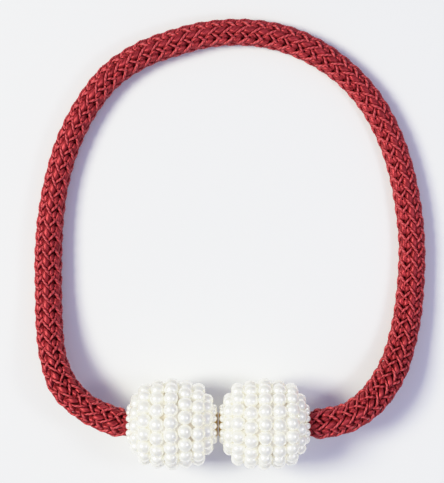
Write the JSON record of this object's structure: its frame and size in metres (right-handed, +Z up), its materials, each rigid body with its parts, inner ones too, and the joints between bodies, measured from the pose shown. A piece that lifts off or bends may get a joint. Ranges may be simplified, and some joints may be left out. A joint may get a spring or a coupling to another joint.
{
  "type": "braided magnetic curtain tieback",
  "caption": "Closed loop of braided rope with pearl-covered balls on its ends, joined by magnets, for holding a gathered curtain to the side.",
  "frame": {"origin": "on the surface that the tieback lies on, midway between the balls, under the clasp", "axes": "+X along the balls' common axis towards the right ball, +Y towards the far side of the loop, +Z up"},
  "size_m": [0.1304, 0.1485, 0.0293],
  "materials": {
    "rope": "satin floss braid",
    "pearl": "pearly gloss",
    "magnet": "gold-toned plating"
  },
  "bodies": {
    "root": {"braided_rope": "rope", "pearl_ball_left": "pearl", "pearl_ball_right": "pearl", "magnet_left": "magnet", "magnet_right": "magnet"}
  },
  "joints": []
}
